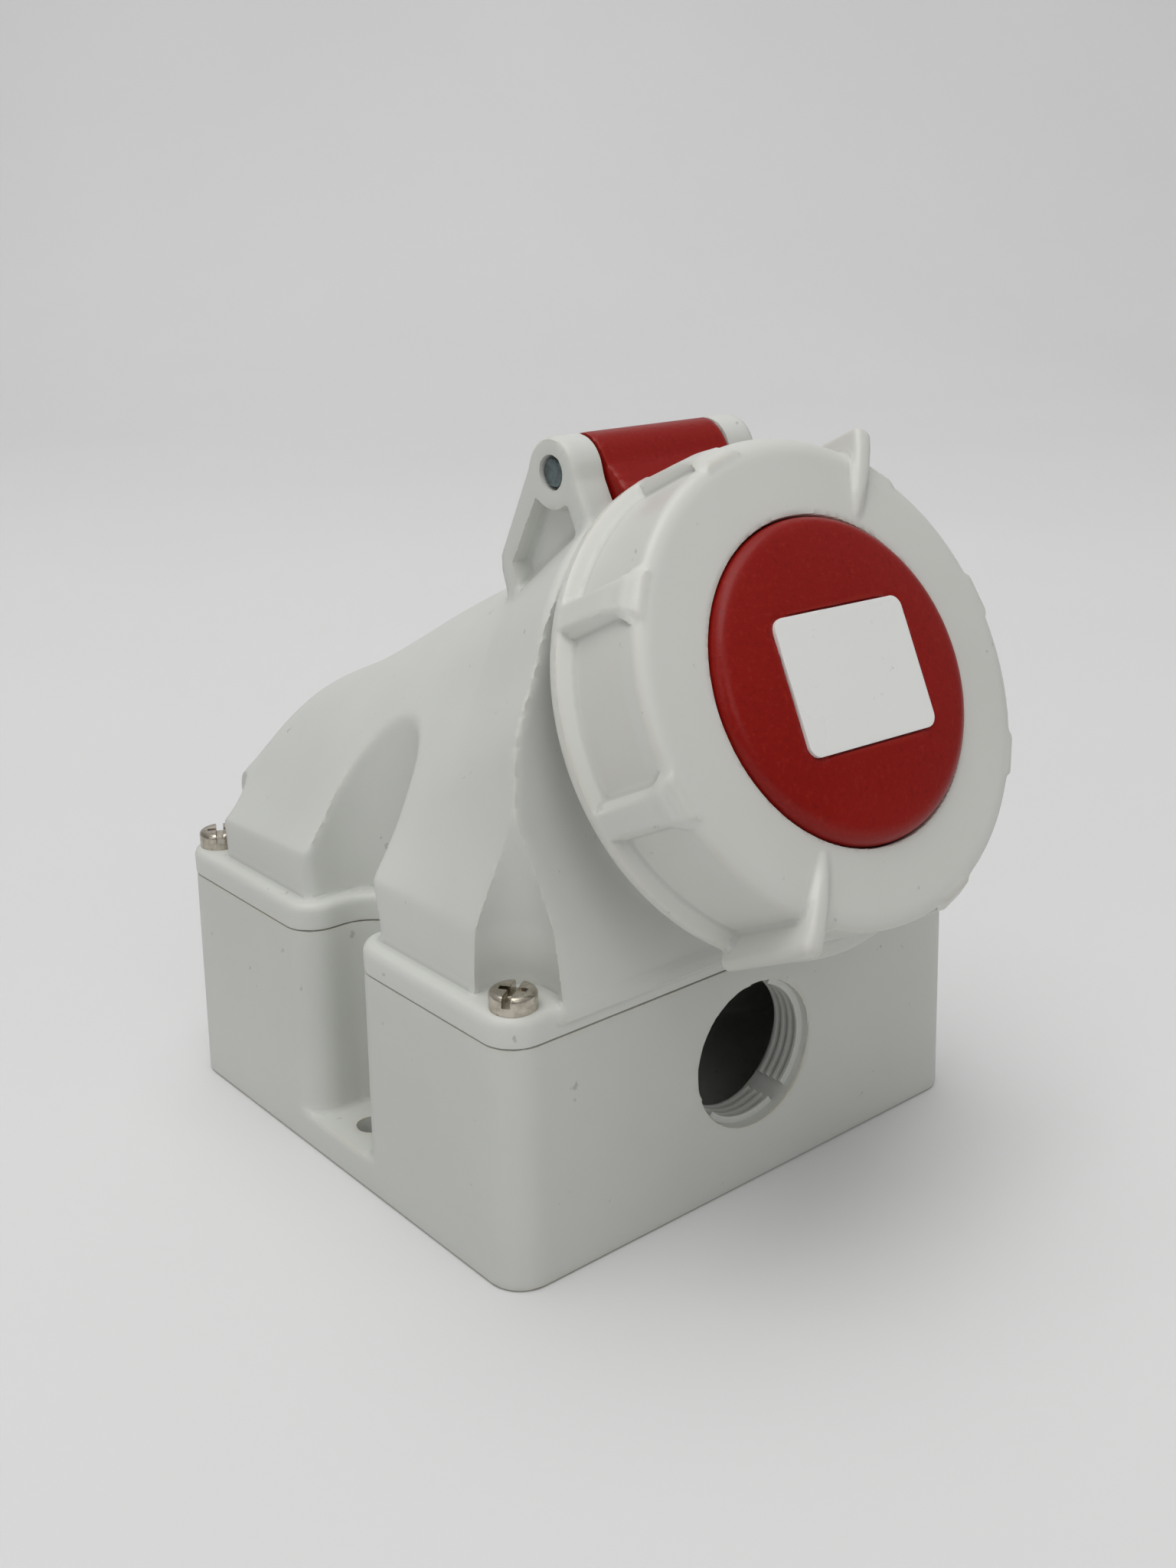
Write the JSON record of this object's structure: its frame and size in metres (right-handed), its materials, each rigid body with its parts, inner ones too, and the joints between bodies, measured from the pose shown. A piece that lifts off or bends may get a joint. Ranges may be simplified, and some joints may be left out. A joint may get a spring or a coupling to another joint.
{
  "type": "industrial wall socket",
  "caption": "Angled surface-mounted industrial socket outlet with hinged lid, locking ring and cable entry",
  "frame": {"origin": "centre of the mounting face", "axes": "+Z out of the wall, -Y towards the cable entry and the side the socket faces, X across"},
  "size_m": [0.1046, 0.1355, 0.1266],
  "materials": {
    "housing_grey": "satin, fine moulded grain",
    "base_grey": "satin, fine moulded grain",
    "ring_grey": "satin",
    "lid_red": "spark-eroded grain, semi gloss",
    "seal_black": "matt",
    "carrier_black": "satin",
    "contact_brass": "turned",
    "screw_nickel": "nickel plated",
    "zinc_blue": "zinc plated, blue passivated",
    "label_white": "printed film, left blank"
  },
  "bodies": {
    "housing": {"base_box": "base_grey", "base_front": "base_grey", "base_rear": "base_grey", "base_left": "base_grey", "base_right": "base_grey", "cover_flange": "housing_grey", "hinge_ears": "housing_grey", "screw_inserts": "contact_brass", "cover_gasket": "seal_black", "top_cover": "housing_grey", "cover_screws": "screw_nickel", "carrier_seal": "seal_black", "contact_carrier": "carrier_black", "carrier_sides": "carrier_black", "carrier_flange": "carrier_black", "carrier_screws": "screw_nickel", "sleeve_l1": "contact_brass", "sleeve_l2": "contact_brass", "sleeve_l3": "contact_brass", "sleeve_earth": "contact_brass", "terminal_screws": "screw_nickel", "hinge_pin": "zinc_blue", "hinge_nut": "zinc_blue", "neck_tube": "housing_grey", "neck_lugs": "housing_grey"},
    "lid": {"lid": "lid_red", "lid_arm": "lid_red", "lid_seal": "seal_black", "label_plate": "label_white"},
    "ring": {"bayonet_ring": "ring_grey", "ring_front": "ring_grey", "ring_lugs": "ring_grey"}
  },
  "joints": [
    {"name": "lid_hinge", "type": "hinge", "parent": "housing", "child": "lid", "pos_m": [0, -0.024, 0.1207], "axis": [-1, 0, 0], "range_deg": [0, 110]},
    {"name": "ring_turn", "type": "hinge", "parent": "lid", "child": "ring", "pos_m": [0, -0.0682, 0.0932], "axis": [0, -0.8988, 0.4384], "range_deg": [0, 28]}
  ]
}
